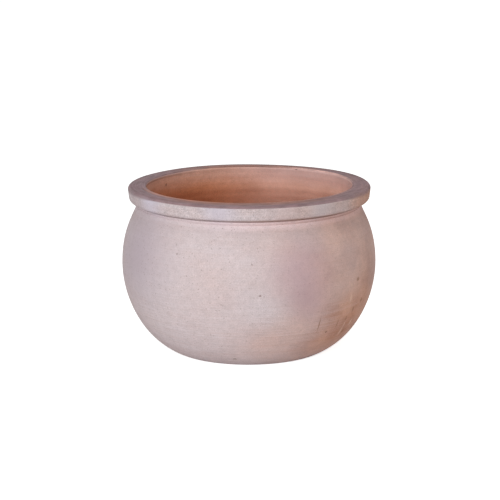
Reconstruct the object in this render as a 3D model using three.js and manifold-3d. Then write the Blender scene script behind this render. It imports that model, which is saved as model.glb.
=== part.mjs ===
// A round-bellied terracotta bowl planter with a thick rolled rim, and the rubber plug that
// closes its drain hole from the inside.
// Millimetres, +Z up. The origin is on the ground, at the centre of the foot.

import * as THREE from "three";
import { mergeVertices, toCreasedNormals } from "three/addons/utils/BufferGeometryUtils.js";
import Module from "manifold-3d";

// ---- Driving dimensions, in millimetres unless a name says otherwise ----

// The whole pot
const POT_HEIGHT = 260; // ground to the top of the lip
const WALL = 12.7; // thickness of the thrown wall
const FLOOR = 15; // thickness of the floor

// The belly, drawn as one curve from the foot up to its widest point and one on to the neck
const BELLY_RADIUS = 200; // the widest point of the pot
const BELLY_HEIGHT = 136; // how high that point is
const FOOT_RADIUS = 123.5; // outer edge of the foot
const FOOT_SLOPE_DEGREES = 25; // how steeply the wall leaves the foot
const NECK_RADIUS = 174.5; // the wall just under the rim
const NECK_SLOPE_DEGREES = 75; // how steeply the wall meets the neck
// How long each curve holds its direction, as a share of the height that it climbs
const FULLNESS_AT_FOOT = 0.37;
const FULLNESS_BELOW_BELLY = 0.415;
const FULLNESS_ABOVE_BELLY = 0.59;
const FULLNESS_AT_NECK = 0.16;

// The rolled rim
const RIM_OVERHANG = 15.5; // how far the rim stands out beyond the neck
const BAND_HEIGHT = 24.5; // height of the rim's outer band
const BAND_TAPER = 1.3; // the band is this much narrower at its lower edge
const ARRIS_RADIUS = 5; // the band's rounded upper edge
const BAND_FOOT_RADIUS = 7; // the band's rounded lower edge
const LAND_FALL = 1; // the flat top falls this much from the lip to the band
const LIP_RADIUS = 2; // the rounded inner edge

// Tooling under the rim: a sharp cove, a thin bead and a fine cut line
const COVE_HEIGHT = 2.2;
const BEAD_HEIGHT = 3.4;
const BEAD_STAND = 2.2; // how far the bead stands out from the neck
const LINE_HEIGHT = 1.6;
const LINE_DEPTH = 0.8;

// The foot ring, its recess and the channel that lets water run out from under the pot
const RING_WIDTH = 17;
const RECESS = 4; // how far the underside lies above the ground
const RECESS_DRAFT = 2; // slope of the ring's inner side
const CHANNEL_WIDTH = 16;
const CHANNEL_DEPTH = 3.2;

// The inside of the pot
const SWEEP_HEIGHT = 26; // where the floor's sweep runs into the wall, above the floor

// The drain hole and its plug
const DRAIN_RADIUS = 15;
const HOLE_CHAMFER = 1.5;
const SEAT_DEPTH = 1; // the shallow seat round the hole that the plug's flange lies in
const SEAT_GAP = 0.8; // between the flange's edge and the seat's edge
const PLUG_GAP = 0.3; // between the plug's ribs and the hole, and under its flange
const FLANGE_OVERLAP = 8; // how far the flange reaches past the hole
const FLANGE_THICKNESS = 3;
const STEM_SHORTFALL = 1.5; // the stem ends this far above the pot's underside
const STEM_TAPER = 1.2; // the stem is this much narrower at its tip
const RIB_COUNT = 2;
const RIB_STAND = 1.2; // how far each sealing rib stands out from the stem
const RIB_HEIGHT = 2.4;
const PLUG_WALL = 3.5; // the stem is hollow from below, so that it can give
const KNOB_RADIUS = 9;
const KNOB_THICKNESS = 5;
const KNOB_NECK_RADIUS = 5.5;
const KNOB_NECK_HEIGHT = 8;

// How finely the round forms are cut into flats
const POT_SEGMENTS = 72;
const PLUG_SEGMENTS = 32;
const BELLY_STEPS = 9; // flats up each of the two belly curves
const ROUND_STEPS = 3; // flats round a small rounded edge
const SHARP_EDGE = THREE.MathUtils.degToRad(32); // edges sharper than this are drawn as edges

// ---- Heights and radii that follow from them ----

const floorTop = RECESS + FLOOR;
const seatTop = floorTop - SEAT_DEPTH;
const flangeRadius = DRAIN_RADIUS + FLANGE_OVERLAP;
const seatRadius = flangeRadius + SEAT_GAP;
const bandBottom = POT_HEIGHT - BAND_HEIGHT;
const beadTop = bandBottom - COVE_HEIGHT;
const beadBottom = beadTop - BEAD_HEIGHT;
const shoulder = beadBottom - LINE_HEIGHT;
const rimRadius = NECK_RADIUS + RIM_OVERHANG;
const mouthRadius = NECK_RADIUS - WALL;

// ---- Small tools for drawing an outline: x is the radius, y the height ----

const at = (radius, height) => new THREE.Vector2(radius, height);

const heading = (degrees, length) => {
  const angle = THREE.MathUtils.degToRad(degrees);
  return at(Math.cos(angle) * length, Math.sin(angle) * length);
};

// The points along a curve, without its first, so that stretches follow one another.
const along = (curve, steps) => curve.getPoints(steps).slice(1);

const arc = (centre, radius, fromDegrees, toDegrees, steps = ROUND_STEPS) => {
  const from = THREE.MathUtils.degToRad(fromDegrees);
  const to = THREE.MathUtils.degToRad(toDegrees);
  return new THREE.EllipseCurve(centre.x, centre.y, radius, radius, from, to, to < from).getPoints(steps);
};

// ---- The belly's two curves ----

const bellyPoint = at(BELLY_RADIUS, BELLY_HEIGHT);
const shoulderSetback = (beadTop - shoulder) / Math.tan(THREE.MathUtils.degToRad(NECK_SLOPE_DEGREES));
const shoulderPoint = at(NECK_RADIUS + shoulderSetback, shoulder);
const climbBelow = BELLY_HEIGHT;
const climbAbove = shoulder - BELLY_HEIGHT;

const footPoint = at(FOOT_RADIUS, 0);
const lowerBelly = new THREE.CubicBezierCurve(
  footPoint,
  footPoint.clone().add(heading(FOOT_SLOPE_DEGREES, FULLNESS_AT_FOOT * climbBelow)),
  bellyPoint.clone().sub(at(0, FULLNESS_BELOW_BELLY * climbBelow)),
  bellyPoint,
);
const upperBelly = new THREE.CubicBezierCurve(
  bellyPoint,
  bellyPoint.clone().add(at(0, FULLNESS_ABOVE_BELLY * climbAbove)),
  shoulderPoint.clone().add(heading(-NECK_SLOPE_DEGREES, FULLNESS_AT_NECK * climbAbove)),
  shoulderPoint,
);

// A point inside the wall: on the curve at t, moved in square to it by the wall's thickness.
function insideOf(curve, t) {
  const direction = curve.getTangent(t);
  return curve.getPoint(t).add(at(-direction.y, direction.x).multiplyScalar(WALL));
}

// Where along the lower curve the inside of the wall passes a height.
function shareAtHeight(height) {
  let low = 0;
  let high = 1;
  for (let halving = 0; halving < 40; halving += 1) {
    const middle = (low + high) / 2;
    if (insideOf(lowerBelly, middle).y < height) low = middle;
    else high = middle;
  }
  return low;
}

// The inside of the wall along part of a curve, walked from one share to the other.
function insideAlong(curve, from, to) {
  const points = [];
  for (let step = 0; step <= BELLY_STEPS; step += 1) {
    points.push(insideOf(curve, from + ((to - from) * step) / BELLY_STEPS));
  }
  return points;
}

// ---- The stretches of the pot's outline, from the drain hole out, up and back in ----

function undersideOutline() {
  const ringInside = FOOT_RADIUS - RING_WIDTH;
  return [
    at(DRAIN_RADIUS, RECESS + HOLE_CHAMFER),
    at(DRAIN_RADIUS + HOLE_CHAMFER, RECESS),
    at(ringInside - RECESS_DRAFT, RECESS),
    at(ringInside, 0),
    footPoint,
  ];
}

function neckOutline() {
  const beadCentre = (beadTop + beadBottom) / 2;
  const bead = new THREE.EllipseCurve(
    NECK_RADIUS, beadCentre, BEAD_STAND, BEAD_HEIGHT / 2, -Math.PI / 2, Math.PI / 2,
  );
  return [
    at(shoulderPoint.x - LINE_DEPTH, shoulder + LINE_HEIGHT / 2),
    ...bead.getPoints(2 * ROUND_STEPS),
  ];
}

function rimOutline() {
  const lowerCentre = at(rimRadius - BAND_TAPER - BAND_FOOT_RADIUS, bandBottom + BAND_FOOT_RADIUS);
  const arrisCentre = at(rimRadius - ARRIS_RADIUS, POT_HEIGHT - LAND_FALL - ARRIS_RADIUS);
  const lipCentre = at(mouthRadius + LIP_RADIUS, POT_HEIGHT - LIP_RADIUS);
  return [
    ...arc(lowerCentre, BAND_FOOT_RADIUS, -90, 0),
    ...arc(arrisCentre, ARRIS_RADIUS, 0, 90),
    ...arc(lipCentre, LIP_RADIUS, 90, 180),
  ];
}

function insideOutline() {
  const start = shareAtHeight(floorTop + SWEEP_HEIGHT);
  const wallPoint = insideOf(lowerBelly, start);
  const slope = lowerBelly.getTangent(start);
  // The sweep is tangent to the wall and to the floor, and its handle ends where the two would meet.
  const corner = wallPoint.clone().sub(slope.clone().multiplyScalar(SWEEP_HEIGHT / slope.y));
  const floorEdge = corner.clone().sub(at(corner.distanceTo(wallPoint), 0));
  const sweep = new THREE.QuadraticBezierCurve(wallPoint, corner, floorEdge);
  return [
    ...insideAlong(upperBelly, 1, 0),
    ...insideAlong(lowerBelly, 1, start).slice(1),
    ...along(sweep, 2 * ROUND_STEPS),
    at(seatRadius + SEAT_DEPTH, floorTop),
    at(seatRadius, seatTop),
    at(DRAIN_RADIUS + HOLE_CHAMFER, seatTop),
    at(DRAIN_RADIUS, seatTop - HOLE_CHAMFER),
  ];
}

function potOutline() {
  const outline = [
    ...undersideOutline(),
    ...along(lowerBelly, BELLY_STEPS),
    ...along(upperBelly, BELLY_STEPS),
    ...neckOutline(),
    ...rimOutline(),
    ...insideOutline(),
  ];
  return [...outline, outline[0].clone()];
}

// ---- Turned forms and solids ----

// Turns an outline about the vertical axis, and stands that axis along +Z.
const turned = (outline, segments) => new THREE.LatheGeometry(outline, segments).rotateX(Math.PI / 2);

const wasm = await Module();
wasm.setup();

function solidFrom(geometry) {
  const bare = geometry.clone();
  bare.deleteAttribute("normal");
  bare.deleteAttribute("uv");
  const merged = mergeVertices(bare, 1e-4);
  return new wasm.Manifold(
    new wasm.Mesh({
      numProp: 3,
      vertProperties: new Float32Array(merged.attributes.position.array),
      triVerts: new Uint32Array(merged.index.array),
    }),
  );
}

function geometryFrom(solid) {
  const mesh = solid.getMesh();
  const geometry = new THREE.BufferGeometry();
  geometry.setAttribute("position", new THREE.BufferAttribute(mesh.vertProperties, 3));
  geometry.setIndex(new THREE.BufferAttribute(mesh.triVerts, 1));
  return toCreasedNormals(geometry, SHARP_EDGE);
}

// The arched bar that cuts one straight channel across the foot, from side to side along X.
function channelBar() {
  const archRadius = CHANNEL_WIDTH / 2;
  const section = new THREE.Shape();
  section.moveTo(-archRadius, -CHANNEL_DEPTH);
  section.lineTo(archRadius, -CHANNEL_DEPTH);
  section.lineTo(archRadius, 0);
  section.absellipse(0, 0, archRadius, CHANNEL_DEPTH, 0, Math.PI, false);
  section.closePath();
  const bar = new THREE.ExtrudeGeometry(section, {
    depth: 2 * BELLY_RADIUS,
    bevelEnabled: false,
    curveSegments: 4 * ROUND_STEPS,
  });
  // Upright the section, then lay its length along X with its middle on the axis.
  return bar.translate(0, 0, -BELLY_RADIUS).rotateX(Math.PI / 2).rotateZ(Math.PI / 2);
}

function makeBowl() {
  const pot = solidFrom(turned(potOutline(), POT_SEGMENTS));
  return geometryFrom(pot.subtract(solidFrom(channelBar())));
}

// ---- The drain plug, drawn with its flange's underside at height 0 ----

function plugOutline() {
  const stemLength = seatTop - RECESS - STEM_SHORTFALL;
  const stemRadius = DRAIN_RADIUS - PLUG_GAP - RIB_STAND;
  const tipRadius = stemRadius - STEM_TAPER;
  const hollowRadius = tipRadius - PLUG_WALL;
  const ribPitch = stemLength / (RIB_COUNT + 1);

  const ribs = [];
  for (let rib = RIB_COUNT; rib >= 1; rib -= 1) {
    const middle = -rib * ribPitch;
    const stemHere = stemRadius - STEM_TAPER * (-middle / stemLength);
    ribs.push(
      at(stemHere, middle - RIB_HEIGHT / 2),
      at(stemRadius + RIB_STAND, middle),
      at(stemHere, middle + RIB_HEIGHT / 2),
    );
  }
  const flangeEdge = arc(
    at(flangeRadius - FLANGE_THICKNESS / 2, FLANGE_THICKNESS / 2), FLANGE_THICKNESS / 2, -90, 90, 4,
  );
  const knobTop = FLANGE_THICKNESS + KNOB_NECK_HEIGHT + KNOB_THICKNESS;
  const knobEdge = arc(
    at(KNOB_RADIUS - KNOB_THICKNESS / 2, knobTop - KNOB_THICKNESS / 2), KNOB_THICKNESS / 2, -90, 90, 4,
  );
  return [
    at(0, -PLUG_WALL),
    at(hollowRadius, -PLUG_WALL),
    at(hollowRadius, -stemLength),
    at(tipRadius, -stemLength),
    ...ribs,
    at(stemRadius, 0),
    ...flangeEdge,
    at(KNOB_NECK_RADIUS, FLANGE_THICKNESS),
    at(KNOB_NECK_RADIUS, FLANGE_THICKNESS + KNOB_NECK_HEIGHT),
    ...knobEdge,
    at(0, knobTop),
  ];
}

const makePlug = () => toCreasedNormals(turned(plugOutline(), PLUG_SEGMENTS), SHARP_EDGE);

// ---- The assembly ----

const terracotta = new THREE.MeshStandardMaterial({ color: 0xc8b0aa, roughness: 0.95, metalness: 0 });
const rubber = new THREE.MeshStandardMaterial({ color: 0x2f2e2d, roughness: 0.7, metalness: 0 });

const bowl = new THREE.Mesh(makeBowl(), terracotta);
bowl.name = "bowl";

const drainPlug = new THREE.Mesh(makePlug(), rubber);
drainPlug.name = "drain_plug";
drainPlug.position.z = seatTop + PLUG_GAP;

const planter = new THREE.Group();
planter.add(bowl, drainPlug);

export default planter;
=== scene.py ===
# %% [markdown]
# # A terracotta bowl planter
# This lesson dresses a wheel-thrown bowl planter: a round belly, a thick rolled rim and a chalky
# lime wash that has worn thin in places. The exact form is already packed as a fixed frame of two
# pieces, the bowl and the rubber plug in its drain hole. Here each gets a finer mesh in the same
# place and a finish built from nodes. All lengths are in metres, with +Z up.

# %% Load the fixed frame
import math
from collections import namedtuple
import bmesh
import bpy
import numpy as np
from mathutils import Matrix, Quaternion, Vector


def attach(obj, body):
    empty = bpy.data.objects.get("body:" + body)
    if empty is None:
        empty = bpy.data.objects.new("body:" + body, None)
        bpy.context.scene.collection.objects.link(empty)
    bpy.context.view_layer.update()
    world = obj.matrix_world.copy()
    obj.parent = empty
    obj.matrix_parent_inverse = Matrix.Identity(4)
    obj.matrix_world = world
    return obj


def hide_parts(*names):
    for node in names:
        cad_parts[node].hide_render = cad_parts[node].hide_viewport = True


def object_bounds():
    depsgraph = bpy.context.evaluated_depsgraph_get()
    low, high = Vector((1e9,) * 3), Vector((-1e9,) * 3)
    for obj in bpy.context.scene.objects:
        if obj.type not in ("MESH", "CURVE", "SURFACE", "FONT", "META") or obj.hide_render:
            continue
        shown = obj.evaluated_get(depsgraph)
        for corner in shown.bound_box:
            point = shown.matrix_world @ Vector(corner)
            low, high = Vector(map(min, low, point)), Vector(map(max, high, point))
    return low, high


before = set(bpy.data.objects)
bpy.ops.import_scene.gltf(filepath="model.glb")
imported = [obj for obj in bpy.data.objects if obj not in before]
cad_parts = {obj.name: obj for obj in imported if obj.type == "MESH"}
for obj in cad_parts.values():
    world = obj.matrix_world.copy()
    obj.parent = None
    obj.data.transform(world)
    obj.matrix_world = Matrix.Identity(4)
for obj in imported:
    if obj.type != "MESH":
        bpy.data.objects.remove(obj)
cad_low, cad_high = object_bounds()
POT_HEIGHT = cad_high.z
BELLY_RADIUS = cad_high.x
print(f"frame: {BELLY_RADIUS * 2:.3f} m across, {POT_HEIGHT:.3f} m high, nodes {sorted(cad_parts)}")

# %% [markdown]
# ## The camera
# The photograph looks slightly down into the mouth. A long lens keeps the rim's ellipse calm: the
# further the camera stands, the less the near side of the rim swells. One could drag a camera
# until it looks right, but distance, height and lens act on the picture in different ways, so each
# is a named value here. The pot's axis stands a hair left of the middle of the picture, and the
# camera is rolled by a third of a degree, because the photograph's rim rises a little to the right.

# %% The camera
MM = 0.001
CAMERA_DISTANCE = 2.765
CAMERA_ELEVATION = math.radians(12.5)
CAMERA_ROLL = math.radians(0.3)
LENS_MM = 125.9
SENSOR_MM = 36.0
AIM = Vector((1.8 * MM, 0, 152.6 * MM))

camera = bpy.data.objects.new("camera", bpy.data.cameras.new("camera"))
bpy.context.scene.collection.objects.link(camera)
camera.data.lens = LENS_MM
camera.data.sensor_width = SENSOR_MM
towards_camera = Vector((0, -math.cos(CAMERA_ELEVATION), math.sin(CAMERA_ELEVATION)))
camera.location = AIM + towards_camera * CAMERA_DISTANCE
camera.rotation_mode = "QUATERNION"
unrolled = (-towards_camera).to_track_quat("-Z", "Y")
camera.rotation_quaternion = unrolled @ Quaternion((0, 0, 1), -CAMERA_ROLL)
bpy.context.scene.camera = camera
bpy.context.scene.view_settings.view_transform = "Standard"
print("camera at", [round(v, 3) for v in camera.location])

# %% [markdown]
# ## Small helpers for materials
# A node material is a list of nodes and the wires between them. Written out in full it is long, so
# a short helper adds a node, sets its values and plugs its inputs in one call. Colours are written
# as the sRGB values that a painter would pick, and turned into the linear values that light needs.

# %% Helpers for nodes and colours
def paint(code):
    """A colour such as "c8b0aa", as the linear values that a shader reads."""
    channels = [int(code[i:i + 2], 16) / 255 for i in (0, 2, 4)]
    linear = [c / 12.92 if c <= 0.04045 else ((c + 0.055) / 1.055) ** 2.4 for c in channels]
    return (*linear, 1.0)


def add(tree, kind, inputs=None, **settings):
    """Adds a node. A value in inputs is set, and a socket there is wired in."""
    node = tree.nodes.new(kind)
    for name, value in settings.items():
        setattr(node, name, value)
    for key, value in (inputs or {}).items():
        socket = node.inputs[key]
        if isinstance(value, bpy.types.NodeSocket):
            tree.links.new(value, socket)
        else:
            socket.default_value = value
    return node


def maths(tree, operation, a, b=0.0, c=0.0, clamp=False):
    """One sum on numbers, which may be values or sockets."""
    return add(tree, "ShaderNodeMath", {0: a, 1: b, 2: c}, operation=operation, use_clamp=clamp).outputs[0]


def times(tree, a, b):
    return maths(tree, "MULTIPLY", a, b)


def opposite(tree, share):
    """1 where the share is 0, and 0 where it is 1."""
    return maths(tree, "SUBTRACT", 1.0, share)


def plus(tree, base, share, amount, clamp=False):
    """The base, with as much of the amount on top as the share says."""
    return maths(tree, "MULTIPLY_ADD", share, amount, base, clamp)


def between(tree, share, at_none, at_full):
    """A number that goes from one value to another while the share goes from 0 to 1."""
    return maths(tree, "MULTIPLY_ADD", share, at_full - at_none, at_none)


def new_material(name):
    """An empty material, its tree and its Principled shader, wired to the output."""
    material = bpy.data.materials.new(name)
    material.use_nodes = True
    tree = material.node_tree
    tree.nodes.clear()
    shader = add(tree, "ShaderNodeBsdfPrincipled")
    add(tree, "ShaderNodeOutputMaterial", {"Surface": shader.outputs[0]})
    return material, tree, shader

# %% [markdown]
# ## Floor and background
# The photograph's background is plain white. Turning the lamps up until a floor clips would bleach
# the pot too. So the floor is an ordinary matte white that bounces light as paper does, with a
# little glow that only the camera sees. That lifts it to white and leaves a soft shadow.

# %% The floor and the white world
FLOOR_REACH = 30.0
FLOOR_WHITE = paint("f2f2f2")
FLOOR_GLOW = 0.78
WORLD_LEVEL = 0.30

floor_mesh = bpy.data.meshes.new("floor")
corners = [(-FLOOR_REACH, -FLOOR_REACH, 0), (FLOOR_REACH, -FLOOR_REACH, 0),
           (FLOOR_REACH, FLOOR_REACH, 0), (-FLOOR_REACH, FLOOR_REACH, 0)]
floor_mesh.from_pydata(corners, [], [(0, 1, 2, 3)])
floor = bpy.data.objects.new("floor", floor_mesh)
bpy.context.scene.collection.objects.link(floor)


def white_floor():
    """Matte white, with a glow that only the camera sees. From below it isn't there."""
    paper = bpy.data.materials.new("white_floor")
    paper.use_nodes = True
    tree = paper.node_tree
    tree.nodes.clear()
    ray = add(tree, "ShaderNodeLightPath")
    matte = add(tree, "ShaderNodeBsdfDiffuse", {"Color": FLOOR_WHITE})
    glow_level = times(tree, ray.outputs["Is Camera Ray"], FLOOR_GLOW)
    glow = add(tree, "ShaderNodeEmission", {"Color": (1, 1, 1, 1), "Strength": glow_level})
    both = add(tree, "ShaderNodeAddShader", {0: matte.outputs[0], 1: glow.outputs[0]})
    see_through = add(tree, "ShaderNodeBsdfTransparent")
    from_below = add(tree, "ShaderNodeNewGeometry").outputs["Backfacing"]
    shown = {0: from_below, 1: both.outputs[0], 2: see_through.outputs[0]}
    one_sided = add(tree, "ShaderNodeMixShader", shown)
    add(tree, "ShaderNodeOutputMaterial", {"Surface": one_sided.outputs[0]})
    return paper


def white_room():
    """A sky that lights the pot softly, and that looks plain white wherever it is seen."""
    world = bpy.data.worlds.new("white_room")
    world.use_nodes = True
    tree = world.node_tree
    tree.nodes.clear()
    ray = add(tree, "ShaderNodeLightPath")
    seen = maths(tree, "MAXIMUM", ray.outputs["Is Camera Ray"], ray.outputs["Is Glossy Ray"])
    seen = maths(tree, "MAXIMUM", seen, ray.outputs["Is Transmission Ray"])
    brightness = between(tree, seen, WORLD_LEVEL, 1.0)
    sky = add(tree, "ShaderNodeBackground", {"Color": (1, 1, 1, 1), "Strength": brightness})
    add(tree, "ShaderNodeOutputWorld", {"Surface": sky.outputs[0]})
    return world


floor_mesh.materials.append(white_floor())
bpy.context.scene.world = white_room()
print("floor and world ready")

# %% [markdown]
# ## The light
# In the photograph the upright band of the rim is about twice as bright as its flat top, so most
# of the light comes from low in front and a little from the left, not from above. One very wide
# soft box does it. A box overhead lets light down into the mouth, and a small warm one at the right
# draws that edge. One could turn up a single lamp and the sky instead, but then the belly has no
# roundness. Each lamp is given by its bearing round the pot, its height angle, its size and how
# bright it makes a white card that faces it.

# %% Three soft boxes
LAMP_TARGET = Vector((0, 0, 0.14))


def soft_box(name, bearing, height_angle, distance, width, height, card_level, colour=(1, 1, 1)):
    """Bearing 0 is the camera's side, and positive bearings are to the right."""
    bearing, height_angle = math.radians(bearing), math.radians(height_angle)
    away = Vector((math.sin(bearing) * math.cos(height_angle),
                   -math.cos(bearing) * math.cos(height_angle), math.sin(height_angle)))
    lamp = bpy.data.lights.new(name, "AREA")
    lamp.shape = "RECTANGLE"
    lamp.size, lamp.size_y = width, height
    lamp.color = colour
    lamp.energy = card_level * math.pi ** 2 * distance ** 2
    box = bpy.data.objects.new(name, lamp)
    box.location = LAMP_TARGET + away * distance
    box.rotation_mode = "QUATERNION"
    box.rotation_quaternion = (-away).to_track_quat("-Z", "Y")
    bpy.context.scene.collection.objects.link(box)
    print(f"{name}: {lamp.energy:.1f} W")


WARM = (1.0, 0.86, 0.76)
LAMP_DISTANCE = 2.8
soft_box("key_box", bearing=-19, height_angle=20, distance=LAMP_DISTANCE, width=2.4, height=1.0,
         card_level=0.54)
soft_box("top_box", bearing=0, height_angle=80, distance=LAMP_DISTANCE, width=1.6, height=1.6,
         card_level=0.22)
soft_box("side_box", bearing=105, height_angle=20, distance=LAMP_DISTANCE, width=1.2, height=1.0,
         card_level=0.11, colour=WARM)

# %% [markdown]
# ## The outline of the pot
# A thrown pot is a turned form, so all of its shape is in one outline, from the drain hole out
# under the foot, up the belly, over the rim and down the inside. It could be drawn as a long list
# of points, but a potter thinks in a few decisions: how wide the foot and belly are, how full the
# curve is, how thick the wall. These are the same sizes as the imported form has, so that the fine
# mesh lies on it.

# %% The sizes of the pot
WALL = 12.7 * MM
FLOOR_THICKNESS = 15 * MM
BELLY_HEIGHT = 136 * MM
FOOT_RADIUS = 123.5 * MM
FOOT_SLOPE = math.radians(25)
NECK_RADIUS = 174.5 * MM
NECK_SLOPE = math.radians(75)
FULLNESS_AT_FOOT = 0.37
FULLNESS_BELOW_BELLY = 0.415
FULLNESS_ABOVE_BELLY = 0.59
FULLNESS_AT_NECK = 0.16
RIM_OVERHANG = 15.5 * MM
BAND_HEIGHT = 24.5 * MM
BAND_TAPER = 1.3 * MM
ARRIS_RADIUS = 5 * MM
BAND_FOOT_RADIUS = 7 * MM
LAND_FALL = 1 * MM
LIP_RADIUS = 2 * MM
COVE_HEIGHT = 2.2 * MM
BEAD_HEIGHT = 3.4 * MM
BEAD_STAND = 2.2 * MM
LINE_HEIGHT = 1.6 * MM
LINE_DEPTH = 0.8 * MM
RING_WIDTH = 17 * MM
RECESS = 4 * MM
RECESS_DRAFT = 2 * MM
CHANNEL_WIDTH = 16 * MM
CHANNEL_DEPTH = 3.2 * MM
SWEEP_HEIGHT = 26 * MM
DRAIN_RADIUS = 15 * MM
HOLE_CHAMFER = 1.5 * MM
SEAT_DEPTH = 1 * MM
SEAT_GAP = 0.8 * MM
FLANGE_OVERLAP = 8 * MM

floor_top = RECESS + FLOOR_THICKNESS
seat_top = floor_top - SEAT_DEPTH
flange_radius = DRAIN_RADIUS + FLANGE_OVERLAP
seat_radius = flange_radius + SEAT_GAP
band_bottom = POT_HEIGHT - BAND_HEIGHT
bead_top = band_bottom - COVE_HEIGHT
bead_bottom = bead_top - BEAD_HEIGHT
shoulder = bead_bottom - LINE_HEIGHT
rim_radius = NECK_RADIUS + RIM_OVERHANG
mouth_radius = NECK_RADIUS - WALL
print(f"mouth {mouth_radius * 2 / MM:.0f} mm across, rim {rim_radius * 2 / MM:.0f} mm")
print(f"the belly ends at a shoulder {shoulder / MM:.1f} mm up")

# %% [markdown]
# Two belly curves carry the form. Each is a Bezier curve with a handle at either end, the way a
# drawing program has them. The inside of the wall is the same curve moved in square to itself, so
# the wall keeps its thickness round the bend, and a sweep carries it into the floor.

# %% Curves and the wall's two faces
def point(radius, height):
    return np.array([radius, height], float)


def heading(angle, length):
    return point(math.cos(angle), math.sin(angle)) * length


def bezier(knots, shares):
    """Points and directions at shares of the way along a cubic curve."""
    a, b, c, d = knots
    t = np.asarray(shares, float)[:, None]
    points = (1 - t) ** 3 * a + 3 * (1 - t) ** 2 * t * b + 3 * (1 - t) * t ** 2 * c + t ** 3 * d
    ways = (1 - t) ** 2 * (b - a) + 2 * (1 - t) * t * (c - b) + t ** 2 * (d - c)
    return points, ways / np.linalg.norm(ways, axis=1, keepdims=True)


def arc(centre, radii, start, end, count):
    angles = np.radians(np.linspace(start, end, count))
    return np.column_stack([centre[0] + radii[0] * np.cos(angles), centre[1] + radii[1] * np.sin(angles)])


belly_point = point(BELLY_RADIUS, BELLY_HEIGHT)
foot_point = point(FOOT_RADIUS, 0)
shoulder_point = point(NECK_RADIUS + (bead_top - shoulder) / math.tan(NECK_SLOPE), shoulder)
climb_above = shoulder - BELLY_HEIGHT
lower_belly = [
    foot_point,
    foot_point + heading(FOOT_SLOPE, FULLNESS_AT_FOOT * BELLY_HEIGHT),
    belly_point - point(0, FULLNESS_BELOW_BELLY * BELLY_HEIGHT),
    belly_point,
]
upper_belly = [
    belly_point,
    belly_point + point(0, FULLNESS_ABOVE_BELLY * climb_above),
    shoulder_point + heading(-NECK_SLOPE, FULLNESS_AT_NECK * climb_above),
    shoulder_point,
]


def inside_of(knots, shares):
    """The inner face of the wall along a belly curve."""
    points, ways = bezier(knots, shares)
    return points + np.column_stack([-ways[:, 1], ways[:, 0]]) * WALL


shares = np.linspace(0, 1, 400)
inner_heights = inside_of(lower_belly, shares)[:, 1]
sweep_share = float(np.interp(floor_top + SWEEP_HEIGHT, inner_heights, shares))
sweep_start = inside_of(lower_belly, [sweep_share])[0]
sweep_way = bezier(lower_belly, [sweep_share])[1][0]
sweep_corner = sweep_start - sweep_way * SWEEP_HEIGHT / sweep_way[1]
floor_edge = sweep_corner - point(np.linalg.norm(sweep_corner - sweep_start), 0)
print(f"flat floor out to {floor_edge[0] / MM:.0f} mm, wall begins at {sweep_start[1] / MM:.0f} mm")

# %% [markdown]
# The outline is walked in stretches, and each stretch remembers what part of the pot it is. The
# spacing of the points decides what relief the mesh can carry: the belly gets one every 1.5 mm,
# so that the fine rings of the wheel are real ridges and not only shading.

# %% Two ways of spacing points
RING_SPACING = 1.5 * MM
PLAIN_SPACING = 4 * MM
FINE_SPACING = 1 * MM
INSIDE_SPACING = 2.5 * MM
TOOLED_SPACING = 0.4 * MM
EDGE_STEPS = 9
LIP_STEPS = 6


def straight(start, end, spacing=PLAIN_SPACING):
    """Points along a straight stretch, the last one left out."""
    count = max(1, round(float(np.linalg.norm(end - start)) / spacing))
    return start + (end - start) * np.linspace(0, 1, count + 1)[:-1, None]


def even(points, spacing):
    """The same curve with its points an even distance apart, the last one left out."""
    steps = np.linalg.norm(np.diff(points, axis=0), axis=1)
    run = np.concatenate([[0], np.cumsum(steps)])
    at = np.linspace(0, run[-1], max(2, round(run[-1] / spacing)) + 1)[:-1]
    return np.column_stack([np.interp(at, run, points[:, k]) for k in (0, 1)])


print("the belly gets a point every", RING_SPACING / MM, "mm")

# %% [markdown]
# The foot first. A potter turns the pot over when it is leather hard and cuts the recess, so that
# only a ring touches the ground. Every corner there is a plain one: nobody sees it, and the cutting
# wire leaves it sharp.

# %% From the drain hole to the foot
hole_low = point(DRAIN_RADIUS, RECESS + HOLE_CHAMFER)


def foot_stretches():
    ring_inside = point(FOOT_RADIUS - RING_WIDTH, 0)
    recess_edge = point(FOOT_RADIUS - RING_WIDTH - RECESS_DRAFT, RECESS)
    hole_low_out = point(DRAIN_RADIUS + HOLE_CHAMFER, RECESS)
    return [
        ("under", straight(hole_low, hole_low_out, FINE_SPACING)),
        ("under", straight(hole_low_out, recess_edge)),
        ("under", straight(recess_edge, ring_inside, FINE_SPACING)),
        ("under", straight(ring_inside, foot_point, 2 * MM)),
    ]


print(len(foot_stretches()), "stretches under the foot")

# %% [markdown]
# Then the belly and the rim. The rim could be one thick roll, but the photograph shows edges: a
# narrow bead under a cove, a band with a soft lower corner, and a flat top between a rounded outer
# arris and a tight lip. Each round edge is an arc of its real radius.

# %% Up the belly and over the rim
lip_centre = point(mouth_radius + LIP_RADIUS, POT_HEIGHT - LIP_RADIUS)
lip = arc(lip_centre, (LIP_RADIUS, LIP_RADIUS), 90, 180, LIP_STEPS)


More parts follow.
